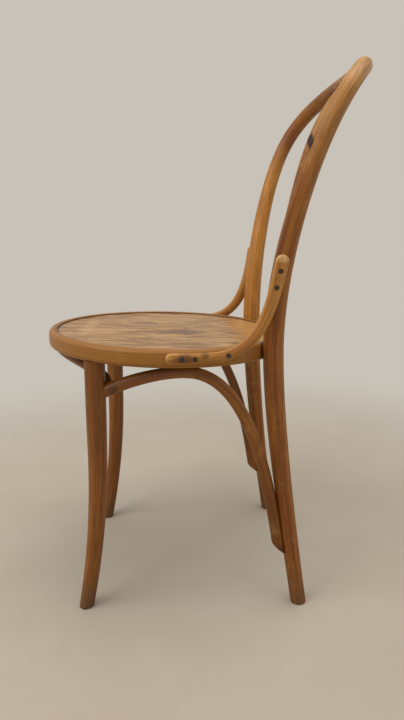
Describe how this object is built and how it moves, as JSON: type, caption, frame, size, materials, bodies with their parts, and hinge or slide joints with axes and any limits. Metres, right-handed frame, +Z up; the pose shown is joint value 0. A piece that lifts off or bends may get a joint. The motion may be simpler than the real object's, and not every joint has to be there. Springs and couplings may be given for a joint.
{
  "type": "chair",
  "caption": "Bentwood bistro side chair: a round seat ring with a veneered panel, a bent back hoop that runs down into the rear legs, swept front legs and bent arches under the seat.",
  "frame": {"origin": "on the floor under the middle of the chair's box", "axes": "+Z up, +X towards the sitter's left, the sitter faces -Y"},
  "size_m": [0.4292, 0.5472, 0.888],
  "materials": {
    "beech_rod": "varnished beech, worn satin, honey brown",
    "beech_ring": "varnished beech, worn satin, honey brown",
    "seat_veneer": "varnished veneer, worn satin, tan brown",
    "steel_screw": "dull, darkened steel"
  },
  "bodies": {
    "root": {"back_hoop": "beech_rod", "hoop_splice_strip": "beech_rod", "seat_ring": "beech_ring", "seat_panel": "seat_veneer", "front_leg_left": "beech_rod", "front_leg_right": "beech_rod", "side_arch_left": "beech_rod", "side_arch_right": "beech_rod", "side_bracket_left": "beech_rod", "side_bracket_right": "beech_rod", "front_arch": "beech_rod", "hoop_coach_screws": "steel_screw", "hoop_washers": "steel_screw", "bracket_upright_screws_left": "steel_screw", "bracket_seat_screws_left": "steel_screw", "arch_screws_left": "steel_screw", "bracket_upright_screws_right": "steel_screw", "bracket_seat_screws_right": "steel_screw", "arch_screws_right": "steel_screw", "front_arch_screws": "steel_screw"}
  },
  "joints": []
}
